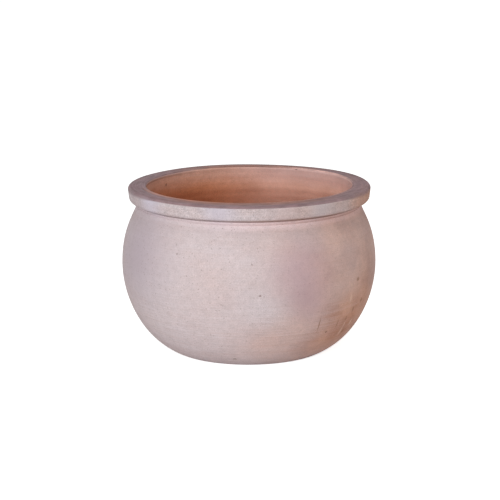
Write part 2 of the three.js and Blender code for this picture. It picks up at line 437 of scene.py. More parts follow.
def belly_and_rim_stretches():
    line_bottom = point(shoulder_point[0] - LINE_DEPTH, shoulder + LINE_HEIGHT / 2)
    bead_centre = point(NECK_RADIUS, (bead_top + bead_bottom) / 2)
    bead = arc(bead_centre, (BEAD_STAND, BEAD_HEIGHT / 2), -90, 90, EDGE_STEPS)
    band_centre = point(rim_radius - BAND_TAPER - BAND_FOOT_RADIUS, band_bottom + BAND_FOOT_RADIUS)
    band_foot = arc(band_centre, (BAND_FOOT_RADIUS, BAND_FOOT_RADIUS), -90, 0, EDGE_STEPS)
    arris_centre = point(rim_radius - ARRIS_RADIUS, POT_HEIGHT - LAND_FALL - ARRIS_RADIUS)
    arris = arc(arris_centre, (ARRIS_RADIUS, ARRIS_RADIUS), 0, 90, EDGE_STEPS)
    return [
        ("outside", even(bezier(lower_belly, shares)[0], RING_SPACING)),
        ("outside", even(bezier(upper_belly, shares)[0], RING_SPACING)),
        ("outside", straight(shoulder_point, line_bottom, TOOLED_SPACING)),
        ("outside", straight(line_bottom, bead[0], TOOLED_SPACING)),
        ("outside", bead),
        ("outside", straight(bead[-1], band_foot[0], 1.2 * MM)),
        ("outside", band_foot[:-1]),
        ("outside", straight(band_foot[-1], arris[0], RING_SPACING)),
        ("outside", arris[:-1]),
        ("outside", straight(arris[-1], lip[0], RING_SPACING)),
        ("outside", lip),
    ]


print(len(belly_and_rim_stretches()), "stretches outside")

# %% [markdown]
# Last the inside, from the lip down to the floor, the seat of the plug's flange and the drain hole,
# where the outline closes on itself. The wall's inner face was worked out above, so the inside is
# that face and a sweep.

# %% Down the inside
def inside_stretches():
    seat_edge_top = point(seat_radius + SEAT_DEPTH, floor_top)
    seat_edge = point(seat_radius, seat_top)
    hole_high_out = point(DRAIN_RADIUS + HOLE_CHAMFER, seat_top)
    hole_high = point(DRAIN_RADIUS, seat_top - HOLE_CHAMFER)
    inner_upper = inside_of(upper_belly, 1 - shares)
    inner_lower = inside_of(lower_belly, 1 - (1 - sweep_share) * shares)
    sweep = np.array([(1 - t) ** 2 * sweep_start + 2 * t * (1 - t) * sweep_corner + t ** 2 * floor_edge
                      for t in shares])
    return [
        ("inside", straight(lip[-1], inner_upper[0], INSIDE_SPACING)),
        ("inside", even(inner_upper, INSIDE_SPACING)),
        ("inside", even(inner_lower, INSIDE_SPACING)),
        ("inside", even(sweep, INSIDE_SPACING)),
        ("inside", straight(floor_edge, seat_edge_top)),
        ("inside", straight(seat_edge_top, seat_edge, MM / 2)),
        ("inside", straight(seat_edge, hole_high_out, 2 * MM)),
        ("inside", straight(hole_high_out, hole_high, FINE_SPACING)),
        ("inside", straight(hole_high, hole_low, 2 * MM)),
    ]


outline = foot_stretches() + belly_and_rim_stretches() + inside_stretches()
rows = np.vstack([points for part, points in outline])
row_part = [part for part, points in outline for _ in range(len(points))]
print(len(rows), "points in the outline")

# %% [markdown]
# Turning the outline gives the pot. Blender has a Screw modifier for that, but a grid of our own
# keeps every point's row and column known, and the marks of making need both. The columns are even,
# with extra ones where the run-off channel crosses the foot, so that its sides stay clean.

# %% Turn the outline
COLUMNS = 360
CHANNEL_COLUMNS = 14
CHANNEL_REACH = math.radians(6)


def column_angles():
    """Even columns, with extra ones where the channel crosses the foot at either side."""
    even_angles = np.linspace(0, 2 * math.pi, COLUMNS, endpoint=False)
    extra = np.linspace(-CHANNEL_REACH, CHANNEL_REACH, 2 * CHANNEL_COLUMNS)
    near_channel = np.concatenate([extra % (2 * math.pi), extra + math.pi])
    return np.unique(np.round(np.concatenate([even_angles, near_channel]), 4))


def turn(rows, angles):
    """The outline at each angle about the vertical axis: an array of rows, columns and x, y, z."""
    return np.stack([
        rows[:, 0, None] * np.cos(angles),
        rows[:, 0, None] * np.sin(angles),
        np.repeat(rows[:, 1, None], len(angles), axis=1),
    ], axis=2)


def mesh_from_grid(name, grid, closed_loop=True):
    """A smooth-shaded mesh from a turned grid. Points that meet on the axis are joined."""
    count, columns = grid.shape[:2]
    faces = []
    for i in range(count if closed_loop else count - 1):
        here, there = i * columns, ((i + 1) % count) * columns
        for j in range(columns):
            k = (j + 1) % columns
            faces.append((here + j, here + k, there + k, there + j))
    mesh = bpy.data.meshes.new(name)
    mesh.from_pydata(grid.reshape(-1, 3).tolist(), [], faces)
    if not closed_loop:
        welded = bmesh.new()
        welded.from_mesh(mesh)
        bmesh.ops.remove_doubles(welded, verts=welded.verts, dist=1e-6)
        welded.to_mesh(mesh)
        welded.free()
    mesh.polygons.foreach_set("use_smooth", [True] * len(mesh.polygons))
    piece = bpy.data.objects.new(name, mesh)
    bpy.context.scene.collection.objects.link(piece)
    return piece


def volume_of(piece):
    """The volume inside a closed mesh. It is only above zero if the faces look outwards."""
    solid = bmesh.new()
    solid.from_mesh(piece.data)
    volume = solid.calc_volume(signed=True)
    solid.free()
    return volume


angles = column_angles()
grid = turn(rows, angles)
print("a grid of", grid.shape[0], "rows and", grid.shape[1], "columns")

# %% [markdown]
# ## The marks of making
# A perfect turned form looks cast, not thrown. Fingers climb the spinning wall and leave a shallow
# spiral, the throwing rings: strong inside, where nobody smooths them, and faint outside, where a rib
# is drawn over the clay. The rim also waves by under a millimetre at the back, where it sagged before
# it was dry, and it sits a millimetre off the middle. The pot stays within its packed size.

# %% Throwing rings, a waving rim and the channel under the foot
INSIDE_RING_PITCH = 13 * MM
INSIDE_RING_DEPTH = 0.35 * MM
OUTSIDE_RING_PITCH = 6.5 * MM
OUTSIDE_RING_DEPTH = 0.05 * MM
FINE_LINE_DEPTH = 0.05 * MM
RIM_WAVE = 0.9 * MM
WAVES_ROUND = 4
HIGH_BEARING = math.radians(115)
RIM_SHIFT = 1.1 * MM
HAND_SEED = 7
SMOOTHED_LIP = 8 * MM
LINE_WANDER = 9


def outward(rows):
    """The direction square to the outline at each of its points, out of the clay."""
    way = np.roll(rows, -1, axis=0) - np.roll(rows, 1, axis=0)
    way /= np.linalg.norm(way, axis=1, keepdims=True)
    return np.column_stack([way[:, 1], -way[:, 0]])


def depth_of_rings(rows, angles):
    """How much clay the fingers and the rib took away at each point of the grid."""
    steps = np.linalg.norm(np.diff(rows, axis=0, prepend=rows[:1]), axis=1)
    run = np.cumsum(steps)[:, None]
    height = rows[:, 1, None]
    part = np.array(row_part)[:, None]
    spiral_in = 0.5 + 0.5 * np.sin(2 * math.pi * run / INSIDE_RING_PITCH - angles)
    spiral_out = 0.5 + 0.5 * np.sin(2 * math.pi * run / OUTSIDE_RING_PITCH + angles)
    chance = np.random.default_rng(HAND_SEED)
    strength = chance.random((len(rows), 1))
    turned = LINE_WANDER * chance.random((len(rows), 1))
    lines = strength * (0.6 + 0.4 * np.sin(angles + turned))
    on_wall_in = (part == "inside") & (height < POT_HEIGHT - SMOOTHED_LIP) & (height > floor_top + 2 * MM)
    on_wall_out = (part == "outside") & (height < shoulder) & (height > CHANNEL_DEPTH)
    depth = np.where(on_wall_in, INSIDE_RING_DEPTH * spiral_in, 0.0)
    return depth + np.where(on_wall_out, OUTSIDE_RING_DEPTH * spiral_out + FINE_LINE_DEPTH * lines, 0.0)


normal = outward(rows)
taken = depth_of_rings(rows, angles)
grid[:, :, 0] -= taken * normal[:, 0, None] * np.cos(angles)
grid[:, :, 1] -= taken * normal[:, 0, None] * np.sin(angles)
grid[:, :, 2] -= taken * normal[:, 1, None]

row_height = rows[:, 1, None]
wave = 0.5 - 0.5 * np.cos(WAVES_ROUND * (angles - HIGH_BEARING))
sag = RIM_WAVE * wave * np.clip(np.sin(angles), 0, 1)
grid[:, :, 2] -= sag * np.clip((row_height - shoulder) / (POT_HEIGHT - shoulder), 0, 1)
grid[:, :, 0] += RIM_SHIFT * np.clip((row_height - shoulder) / (band_bottom - shoulder), 0, 1)

across = np.clip(1 - (grid[:, :, 1] / (CHANNEL_WIDTH / 2)) ** 2, 0, 1)
arch = CHANNEL_DEPTH * np.sqrt(across)
in_foot = (np.hypot(grid[:, :, 0], grid[:, :, 1]) > FOOT_RADIUS - RING_WIDTH - RECESS_DRAFT - MM)
grid[:, :, 2] = np.where(in_foot, np.maximum(grid[:, :, 2], arch), grid[:, :, 2])

bowl = mesh_from_grid("thrown_bowl", grid)
print(f"bowl: {len(bowl.data.vertices)} vertices, {volume_of(bowl) * 1e6:.0f} cm3 of clay")

# %% [markdown]
# ## Where a mark sits
# Cloudy patches, pits and drips belong to places that one sees in the photograph. The easy way is to
# guess their coordinates and render until they fit. Here a ray is shot from the camera through the
# picture instead, and the mark goes where the ray meets the clay, so it stays on the surface from
# any side.

# %% From a place in the picture to a place on the clay
PICTURE_SIZE = 500


def seen_at(x, y):
    """The point of the bowl that shows at a pixel of the square picture."""
    reach = LENS_MM / SENSOR_MM * PICTURE_SIZE
    aim = camera.rotation_quaternion @ Vector((x - PICTURE_SIZE / 2, PICTURE_SIZE / 2 - y, -reach))
    hit, place, *_ = bowl.ray_cast(camera.location, aim.normalized())
    if not hit:
        raise ValueError(f"no clay is seen at {x}, {y}")
    return place


print("the middle of the picture shows", [round(v, 3) for v in seen_at(250, 250)])

# %% [markdown]
# ## Effects that several finishes share
# The outside, the inside and the foot are the same clay with different wear, so their effects are
# node groups: built once, then placed in each material with its own values. Every group reads a
# place in the pot's own space, in metres, so sizes are real sizes. Heights come out in millimetres.

# %% A helper for node groups
SOCKET_KINDS = {"vector": "NodeSocketVector", "number": "NodeSocketFloat", "colour": "NodeSocketColor"}


def new_group(name, inputs, outputs):
    """A node group with named sockets. Returns its tree, what it is given and what it puts out."""
    group = bpy.data.node_groups.new(name, "ShaderNodeTree")
    for label, kind, default in inputs:
        socket = group.interface.new_socket(label, in_out="INPUT", socket_type=SOCKET_KINDS[kind])
        if default is not None:
            socket.default_value = default
    for label, kind in outputs:
        group.interface.new_socket(label, in_out="OUTPUT", socket_type=SOCKET_KINDS[kind])
    return group, group.nodes.new("NodeGroupInput").outputs, group.nodes.new("NodeGroupOutput").inputs


def place_group(tree, group, inputs):
    """Places a group in a tree and sets or wires its inputs by name."""
    return add(tree, "ShaderNodeGroup", inputs, node_tree=group).outputs


print("node groups can hold", sorted(SOCKET_KINDS))

# %% [markdown]
# The groups and the materials shape values in the same few ways: a smooth step between two places, a
# ring round one height or radius, noise of a real size. A Color Ramp could draw each of them, but a
# ramp hides its stops inside the node, and a helper shows both ends of a step where it is used.

# %% Helpers that shape a value or a colour
def step(tree, value, low, high):
    """Rises smoothly from 0 to 1 while the value goes from low to high."""
    node = add(tree, "ShaderNodeMapRange", {"Value": value, "From Min": low, "From Max": high},
               interpolation_type="SMOOTHSTEP", clamp=True)
    return node.outputs["Result"]


def ring_mask(tree, value, middle, reach, softness=0.9):
    """1 where a height or a radius is at the middle, fading out over the reach to both sides."""
    away = maths(tree, "ABSOLUTE", maths(tree, "SUBTRACT", value, middle))
    return opposite(tree, step(tree, maths(tree, "DIVIDE", away, reach), 1.0 - softness, 1.0))


def blend(tree, share, a, b, way="MIX"):
    """Colour b over colour a, by a share."""
    node = add(tree, "ShaderNodeMix", {"Factor": share, 6: a, 7: b}, data_type="RGBA", blend_type=way)
    return node.outputs[2]


def shaded(tree, colour, level):
    """The colour, darker where the level is under 1 and lighter where it is over 1."""
    grey = add(tree, "ShaderNodeCombineColor", {0: level, 1: level, 2: level}).outputs[0]
    return blend(tree, 1.0, colour, grey, "MULTIPLY")


def noise(tree, place, size, detail=3.0, roughness=0.5):
    """Cloudy noise from 0 to 1 with features of about a size in metres."""
    node = add(tree, "ShaderNodeTexNoise", {"Vector": place, "Scale": 1 / size, "Detail": detail,
                                            "Roughness": roughness})
    return node.outputs[0]


def stretched(tree, place, factors):
    """The place, with each axis multiplied, so that what is drawn there is squeezed along it."""
    return add(tree, "ShaderNodeVectorMath", {0: place, 1: factors}, operation="MULTIPLY").outputs[0]


def scaled(tree, place, factor):
    """The place, multiplied by a number that may be a socket."""
    return add(tree, "ShaderNodeVectorMath", {0: place, "Scale": factor}, operation="SCALE").outputs[0]


def length_of(tree, vector):
    return add(tree, "ShaderNodeVectorMath", {0: vector}, operation="LENGTH").outputs["Value"]


print("a step, a ring, a blend, a shade and noise are ready")

# %% [markdown]
# **Soft spot.** A patch that fades out all round: a cloud in the lime wash when it is wide, a pit or
# a drip when it is small. It is an ellipsoid of influence. Painting a mask by hand would do as well,
# but a mask needs an image and a spot needs only a centre and a reach.

# %% Group: soft spot
def build_soft_spot():
    group, given, put = new_group(
        "soft_spot",
        [("Place", "vector", None), ("Centre", "vector", None), ("Reach", "vector", (0.02, 0.02, 0.02)),
         ("Softness", "number", 1.0)],
        [("Mask", "number")])
    away = add(group, "ShaderNodeVectorMath", {0: given["Place"], 1: given["Centre"]}, operation="SUBTRACT")
    share = add(group, "ShaderNodeVectorMath", {0: away.outputs[0], 1: given["Reach"]}, operation="DIVIDE")
    faded = step(group, length_of(group, share.outputs[0]), opposite(group, given["Softness"]), 1.0)
    group.links.new(opposite(group, faded), put["Mask"])
    return group


soft_spot = build_soft_spot()
print("soft_spot:", [socket.name for socket in soft_spot.interface.items_tree])

# %% [markdown]
# **Wheel lines.** Fine rings left by the wheel, which follow the pot round. Radius plus height is the
# same all the way round at one level, so noise that changes fast with that sum and slowly round the
# pot draws level lines on the belly and circles on the rim's flat top.

# %% Group: wheel lines
def build_wheel_lines():
    group, given, put = new_group(
        "wheel_lines",
        [("Place", "vector", None), ("Pitch", "number", 0.0016), ("Reach", "number", 0.09)],
        [("Lines", "number")])
    apart = add(group, "ShaderNodeSeparateXYZ", {0: given["Place"]}).outputs
    radius = length_of(group, stretched(group, given["Place"], (1, 1, 0)))
    along = maths(group, "DIVIDE", maths(group, "ADD", radius, apart[2]), given["Pitch"])
    around = [maths(group, "DIVIDE", apart[axis], given["Reach"]) for axis in (0, 1)]
    drawn = add(group, "ShaderNodeCombineXYZ", {0: around[0], 1: around[1], 2: along}).outputs[0]
    group.links.new(noise(group, drawn, 1.0, detail=2.0), put["Lines"])
    return group


wheel_lines = build_wheel_lines()
print("wheel_lines:", [socket.name for socket in wheel_lines.interface.items_tree])

# %% [markdown]
# **Clay grain.** Garden terracotta is coarse: crushed fired clay is mixed in, and the surface is a
# fine speckle, peppered with pin holes, with a wider pore here and there where a grain fell out. The
# speckle is noise at the size of the grains. The holes are the middles of cells, kept in only some
# of the cells, so that they are scattered and not evenly spaced.

# %% Scattered holes
HOLE_CORE = 0.4


def scattered_holes(tree, place, spacing, narrow, wide, share):
    """Round holes in a share of the cells. Their radii run from narrow to wide, in cell widths."""
    by_cell = scaled(tree, place, maths(tree, "DIVIDE", 1.0, spacing))
    cells = add(tree, "ShaderNodeTexVoronoi", {"Vector": by_cell, "Scale": 1.0})
    chance = add(tree, "ShaderNodeSeparateColor", {0: cells.outputs["Color"]}).outputs
    radius = between(tree, chance[1], narrow, wide)
    outside = step(tree, maths(tree, "DIVIDE", cells.outputs["Distance"], radius), HOLE_CORE, 1.0)
    kept = maths(tree, "LESS_THAN", chance[0], share)
    return times(tree, opposite(tree, outside), kept)


print("a hole is whole out to", HOLE_CORE, "of its radius, and fades from there")

# %% [markdown]
# The group puts the speckle and two sizes of hole together. Each comes out by itself, so that a
# material can colour it, and all of them come out once more as one height for the relief.

# %% Group: clay grain
FINE_GRAIN = 0.31
SHARE_OF_FINE = 0.35
HOLE_WOBBLE = 2.2 * MM
PORE_RADII = (0.05, 0.14)
PIN_HOLE_RADII = (0.14, 0.30)
PIN_HOLE_SPACING = 0.38
PIN_HOLE_SHARE = 0.65
SPECKLE_RELIEF = 0.16
PORE_RELIEF = -0.35
PIN_HOLE_RELIEF = -0.12


def build_clay_grain():
    group, given, put = new_group(
        "clay_grain",
        [("Place", "vector", None), ("Grain", "number", 0.0016), ("Pore Spacing", "number", 0.011),
         ("Pore Share", "number", 0.3)],
        [("Speckle", "number"), ("Pin Holes", "number"), ("Pores", "number"), ("Height", "number")])
    by_grain = scaled(group, given["Place"], maths(group, "DIVIDE", 1.0, given["Grain"]))
    coarse = noise(group, by_grain, 1.0, detail=3.0, roughness=0.65)
    fine = noise(group, by_grain, FINE_GRAIN, detail=2.0, roughness=0.6)
    speckle = plus(group, times(group, coarse, 1 - SHARE_OF_FINE), fine, SHARE_OF_FINE)
    # The wobble keeps the holes from being true circles.
    wobble = add(group, "ShaderNodeTexNoise", {"Vector": by_grain, "Scale": 0.9, "Detail": 1.0})
    wobbled = {0: wobble.outputs["Color"], 1: (HOLE_WOBBLE, HOLE_WOBBLE, HOLE_WOBBLE), 2: given["Place"]}
    moved = add(group, "ShaderNodeVectorMath", wobbled, operation="MULTIPLY_ADD").outputs[0]
    pores = scattered_holes(group, moved, given["Pore Spacing"], *PORE_RADII, given["Pore Share"])
    close = times(group, given["Pore Spacing"], PIN_HOLE_SPACING)
    pin_holes = scattered_holes(group, moved, close, *PIN_HOLE_RADII, PIN_HOLE_SHARE)
    relief = plus(group, times(group, speckle, SPECKLE_RELIEF), pores, PORE_RELIEF)
    relief = plus(group, relief, pin_holes, PIN_HOLE_RELIEF)
    group.links.new(speckle, put["Speckle"])
    group.links.new(pin_holes, put["Pin Holes"])
    group.links.new(pores, put["Pores"])
    group.links.new(relief, put["Height"])
    return group


clay_grain = build_clay_grain()
print("clay_grain:", [socket.name for socket in clay_grain.interface.items_tree])

# %% [markdown]
# **Limed clay.** The chalky look is thinned lime brushed over orange clay. Where the coat is thick
# it is a pale pinkish white, where it is thin the clay warms it, and where it is rubbed off the clay
# shows. The group takes how much coat there should be at a place, breaks it up with soft mottling,
# a little speckle and the wheel's lines, and gives the mixed colour. Grit then darkens and lightens
# it by the grain, by small clouds of soil and by the lines, as dust in the surface does. Painting
# only one average colour would lose exactly this play between the two.

# %% Group: limed clay
CLAY_PALE = paint("d39b7c")
CLAY_DEEP = paint("b97f61")
LIME = paint("d3c6c8")
# Clouds of lime lie flat, as the brush went round, so they are squeezed in height.
WIDE_CLOUD, WIDE_SQUEEZE = 0.085, (1, 1, 1.6)
NARROW_CLOUD, NARROW_SQUEEZE = 0.022, (1, 1, 1.4)
SHARE_OF_WIDE = 0.55
COAT_BY_SPECKLE, COAT_BY_LINES, COAT_BY_BOTH = 0.8, 0.6, 0.9
PATCH_SIZE, PATCH_EDGES = 0.045, (0.35, 0.68)
SOIL_CLOUD = 0.009
GRIT_BY_LINES, GRIT_BY_SOIL = 0.10, 0.30


def build_limed_clay():
    group, given, put = new_group(
        "limed_clay",
        [("Place", "vector", None), ("Coat", "number", 0.8), ("Mottle", "number", 0.25),
         ("Speckle", "number", 0.5), ("Lines", "number", 0.5), ("Grit", "number", 0.6),
         ("Clay Pale", "colour", CLAY_PALE), ("Clay Deep", "colour", CLAY_DEEP), ("Lime", "colour", LIME)],
        [("Colour", "colour"), ("Coat", "number")])
    speckle = maths(group, "SUBTRACT", given["Speckle"], 0.5)
    lines = maths(group, "SUBTRACT", given["Lines"], 0.5)
    wide = noise(group, stretched(group, given["Place"], WIDE_SQUEEZE), WIDE_CLOUD, detail=2.0)
    squeezed = stretched(group, given["Place"], NARROW_SQUEEZE)
    narrow = noise(group, squeezed, NARROW_CLOUD, detail=4.0, roughness=0.6)
    clouds = plus(group, plus(group, -0.5, wide, SHARE_OF_WIDE), narrow, 1 - SHARE_OF_WIDE)
    broken = plus(group, given["Coat"], clouds, given["Mottle"])
    fine = plus(group, times(group, speckle, COAT_BY_SPECKLE), lines, COAT_BY_LINES)
    coat = plus(group, broken, fine, times(group, given["Mottle"], COAT_BY_BOTH), clamp=True)
    patches = step(group, noise(group, given["Place"], PATCH_SIZE, detail=4.0), *PATCH_EDGES)
    clay = blend(group, patches, given["Clay Deep"], given["Clay Pale"])
    soil = maths(group, "SUBTRACT", noise(group, given["Place"], SOIL_CLOUD, detail=3.0, roughness=0.6), 0.5)
    uneven = plus(group, plus(group, speckle, lines, GRIT_BY_LINES), soil, GRIT_BY_SOIL)
    gritty = plus(group, 1.0, uneven, given["Grit"])
    group.links.new(shaded(group, blend(group, coat, clay, given["Lime"]), gritty), put["Colour"])
    group.links.new(coat, put["Coat"])
    return group


limed_clay = build_limed_clay()
print("limed_clay:", [socket.name for socket in limed_clay.interface.items_tree])

# %% [markdown]
# ## Where a finish changes
# A finish changes along the pot: the coat thins to the right, dirt and painted shade sit at one
# height. Each such change is written as a fade, which is a pair of places where it starts and where
# it ends. An image mask would have to be painted again after every change of size, and a fade only
# needs its pair.

# %% The point being shaded, and how a finish ends
ShadedPoint = namedtuple("ShadedPoint", "place x y z radius")


def shaded_point(tree):
    """The point being shaded: its place, its x, y and z, and its distance from the pot's axis."""
    place = add(tree, "ShaderNodeTexCoord").outputs["Object"]
    x, y, z = add(tree, "ShaderNodeSeparateXYZ", {0: place}).outputs
    return ShadedPoint(place, x, y, z, length_of(tree, stretched(tree, place, (1, 1, 0))))


def complete(tree, shader, colour, roughness, height, relief=MM):
    """Wires a finish into its shader. A height of 1 stands out by the relief, in metres."""
    bump = add(tree, "ShaderNodeBump", {"Height": height, "Distance": relief, "Strength": 1.0})
    tree.links.new(colour, shader.inputs["Base Color"])
    tree.links.new(roughness, shader.inputs["Roughness"])
    tree.links.new(bump.outputs[0], shader.inputs["Normal"])


CLAY_SPECULAR = 0.25
LIME_ROUGHNESS = 0.96
print("a point being shaded has", ShadedPoint._fields)

# %% [markdown]
# ## The outside
# The coat of lime is nearly whole on the left and thin on the right, with some clouds of its own: a
# pale one low in the middle, a pink one at the foot, and a bare patch low on the right where water
# has run. These few are listed one by one, and the mottling of the limed clay does the rest. The belly
# and the band of the rim were brushed apart, so each has its own coat.

# %% How much lime there is outside
COAT_THINS = (-0.02, 0.13)
COAT_LEFT, COAT_RIGHT = 0.93, 0.53
BAND_THINS = (0.02, 0.09)
BAND_LEFT, BAND_RIGHT = 0.95, 0.69
BAND_WORN_END = (0.145, 0.170)
WORN_END_CHANGE = -0.42
# A ring of thicker lime under the band, which is also painted light against the rim's shade.
THICK_COAT_AND_LIGHT_UNDER_BAND, THICK_REACH = 0.12, 10 * MM
# Each cloud: where it is seen, how far it reaches in metres, and how much coat it adds or takes.
CLOUDS = {
    "pale_low_middle": ((266, 310), 0.058, 0.14),
    "pale_left": ((150, 285), 0.070, 0.06),
    "warm_left_of_middle": ((212, 285), 0.055, -0.04),
    "thin_under_rim_middle": ((250, 236), 0.045, -0.05),
    "pale_under_rim_right": ((308, 236), 0.040, 0.12),
    "thin_right_of_middle": ((322, 278), 0.045, -0.08),
    "worn_right_edge": ((366, 268), 0.060, -0.12),
    "pink_foot_middle": ((262, 344), 0.075, -0.20),
}
# Each bare patch reaches far into the depth, so that it runs on over the edge that is seen.
BARE_PATCHES = {
    "low_right": ((350, 315), (0.066, 0.16, 0.070), -0.40),
    "by_the_foot": ((322, 342), (0.075, 0.16, 0.040), -0.27),
    "right_edge": ((366, 292), (0.022, 0.16, 0.050), -0.10),
}


def spot_at(tree, place, pixel, reach):
    """A soft spot that is seen at a pixel. Its reach is one length, or one for each axis."""
    reaches = reach if isinstance(reach, tuple) else (reach, reach, reach)
    return place_group(tree, soft_spot, {"Place": place, "Centre": seen_at(*pixel), "Reach": reaches})["Mask"]


def belly_coat(tree, at):
    coat = between(tree, step(tree, at.x, *COAT_THINS), COAT_LEFT, COAT_RIGHT)
    for pixel, reach, change in (*CLOUDS.values(), *BARE_PATCHES.values()):
        coat = plus(tree, coat, spot_at(tree, at.place, pixel, reach), change)
    # The ring under the band is partly painted light.
    return plus(tree, coat, ring_mask(tree, at.z, shoulder, THICK_REACH), THICK_COAT_AND_LIGHT_UNDER_BAND)


def band_coat(tree, at):
    coat = between(tree, step(tree, at.x, *BAND_THINS), BAND_LEFT, BAND_RIGHT)
    return plus(tree, coat, step(tree, at.x, *BAND_WORN_END), WORN_END_CHANGE)


print(len(CLOUDS), "clouds and", len(BARE_PATCHES), "bare patches")

# %% [markdown]
# Salts and smoke tinted the lime: mauve at the right of the middle, bluish and pink along the band.
# The cool grey at the left edge is painted shade, where the light falls off. A tinge keeps the coat
# and shifts its colour, so it is a soft spot of its own and not more or less lime.

# %% Tinges in the lime, and painted shade at the left edge
# Each tinge: where it is seen, how far it reaches, its colour and its strength.
TINGES = {
    "mauve_right_of_middle": ((302, 272), 0.078, paint("b99ba6"), 0.52),
    "mauve_below_it": ((310, 303), 0.055, paint("b798a0"), 0.42),
    # Painted shade: the left edge is greyed where the light falls off.
    "painted_shade_left_edge": ((138, 252), 0.115, paint("b5a7b1"), 0.68),
    "blue_on_the_band_left": ((150, 199), 0.042, paint("dcd6e6"), 0.66),
    "blue_on_the_band_middle": ((218, 210), 0.040, paint("d0c9d8"), 0.60),
    "pink_on_the_band": ((284, 212), 0.030, paint("d6bdba"), 0.50),
    "grey_on_the_band_right": ((322, 206), 0.042, paint("d2c7ca"), 0.60),
}


def tinged(tree, at, colour):
    for pixel, reach, tint, strength in TINGES.values():
        colour = blend(tree, times(tree, spot_at(tree, at.place, pixel, reach), strength), colour, tint)
    return colour


print(len(TINGES), "tinges")

# %% [markdown]
# The small marks are pits where a stone burst, and the drips of the bare patch: dark runs that took
# the lime off and pale ones that left it. Water runs down the wall, so a drip must follow the wall's
# curve. A straight ellipsoid wouldn't, so the wall is unrolled first: a mark's place there is its
# bearing round the pot and its height.

# %% Pits and drips
# Each mark: where it is seen, and half its width and half its height in metres.
PITS = {
    "foot_chip": ((235, 359), 0.0040, 0.0013),
    "middle_pit": ((260, 296), 0.0022, 0.0015),
    "beside_middle_pit": ((264, 297), 0.0009, 0.0009),
    "upper_pit": ((252, 265), 0.0012, 0.0011),
    "left_pit": ((177, 254), 0.0009, 0.0016),
    "right_pit": ((326, 332), 0.0024, 0.0020),
    "left_edge_pit": ((132, 274), 0.0012, 0.0014),
}
DARK_RUNS = {
    "long_run": ((319, 325), 0.0019, 0.019),
    "upper_right_run": ((358, 279), 0.0060, 0.005),
    "edge_run": ((361, 300), 0.0050, 0.006),
    "beside_the_third_drip": ((353, 309), 0.0026, 0.007),
    "beside_the_second_drip": ((346, 318), 0.0022, 0.006),
    "beside_the_low_drip": ((342, 331), 0.0030, 0.006),
    "inner_run": ((337, 324), 0.0016, 0.012),
}
PALE_RUNS = {
    "first_drip": ((340, 331), 0.0036, 0.011),
    "second_drip": ((344, 324), 0.0022, 0.007),
    "third_drip": ((351, 298), 0.0036, 0.011),
    "upper_drip": ((352, 285), 0.0022, 0.005),
    "edge_drip": ((350, 322), 0.0040, 0.008),
}
MARK_WOBBLE = Vector((1.6 * MM, 1.6 * MM, 1.6 * MM))
WOBBLES_PER_METRE = 420.0


def mark_mask(tree, place, marks, softness=0.6):
    """One mask for small marks that share their look. They follow the wall down, as water runs."""
    wobble = add(tree, "ShaderNodeTexNoise", {"Vector": place, "Scale": WOBBLES_PER_METRE, "Detail": 2.0})
    moved = add(tree, "ShaderNodeVectorMath", {0: wobble.outputs["Color"], 1: MARK_WOBBLE, 2: place},
                operation="MULTIPLY_ADD").outputs[0]
    apart = add(tree, "ShaderNodeSeparateXYZ", {0: moved}).outputs
    bearing = maths(tree, "ARCTAN2", apart[0], times(tree, apart[1], -1.0))
    unrolled = add(tree, "ShaderNodeCombineXYZ", {0: bearing, 2: apart[2]}).outputs[0]
    total = None
    for pixel, half_width, half_height in marks.values():
        # The noise averages a half, so the marks are moved by half a wobble as well.
        x, y, z = seen_at(*pixel) + MARK_WOBBLE / 2
        inputs = {"Place": unrolled, "Centre": (math.atan2(x, -y), 0.0, z), "Softness": softness,
                  "Reach": (half_width / math.hypot(x, y), 1.0, half_height)}
        mask = place_group(tree, soft_spot, inputs)["Mask"]
        total = mask if total is None else maths(tree, "MAXIMUM", total, mask)
    return total


print(len(PITS), "pits and", len(DARK_RUNS) + len(PALE_RUNS), "runs")

# %% [markdown]
# The rim's flat top catches rain and hands. It is brown in front and grey at the sides, rubbed to the
# clay along the lip in front and most at the left, pink with lime along the lip at the back right,
# and dark at the outer edge behind, which is painted shade where that edge turns away from the light.
# All of it is also darkened as painted shade, because the light only grazes the flat top. Swirls of
# the wheel break the dirt up. It could be a material of its own with a hard border, but dirt has a
# ragged one, so it is a mask over the limed clay.

# %% Dirt and painted shade on the flat top
# The flat top's colours are dirt, made darker as painted shade where the light grazes.
LAND_BROWN = paint("9a7064")
LAND_GREY = paint("8f777b")
LIP_CLAY = paint("c8917c")
LIP_PINK = paint("dcb4ac")
# Painted shade at the outer edge behind.
PAINTED_EDGE_SHADE = paint("6e5c5b")
LAND_DROP = 3.6 * MM
LAND_SOFTNESS = (1.2 * MM, 8.2 * MM)
LAND_RAGGEDNESS = 2.2 * MM
DROP_AT_ENDS = 5.5 * MM
RIM_ENDS = (0.13, 0.19)
RIM_SIDES = (0.05, 0.16)
OUTER_LAND = (mouth_radius + 6 * MM, rim_radius - 4 * MM)
OUTER_GREY = 0.9
LIP_LINE, LIP_LINE_REACH = mouth_radius + 3.5 * MM, 5 * MM
LIP_FRONT = (-0.09, -0.02)
LIP_LEFT = (-0.12, -0.03)
RUBBED_ELSEWHERE, RUBBED_LEFT = 0.3, 0.8
PINK_LINE, PINK_LINE_REACH = mouth_radius + 0.5 * MM, 4 * MM
PINK_RIGHT = (0.02, 0.10)
PINK_BACK = (-0.02, 0.06)
OUTER_EDGE = (rim_radius - 12 * MM, rim_radius - 3 * MM)
EDGE_BACK = (0.0, 0.08)
EDGE_SHADE_MIDDLE, EDGE_SHADE_SIDES = 0.20, 0.75
SWIRL_PITCH, SWIRL_REACH = 0.007, 0.02
LEAST_LEVEL, LEVEL_BY_CLOUDS, LEVEL_BY_SWIRLS = 0.36, 0.65, 0.95
LAND_CLOUD = 0.03
LEAST_DIRT_AND_SHADE, DIRT_AND_SHADE_BY_CLOUDS, DIRT_AND_SHADE_BY_LINES = 0.74, 0.36, 0.8


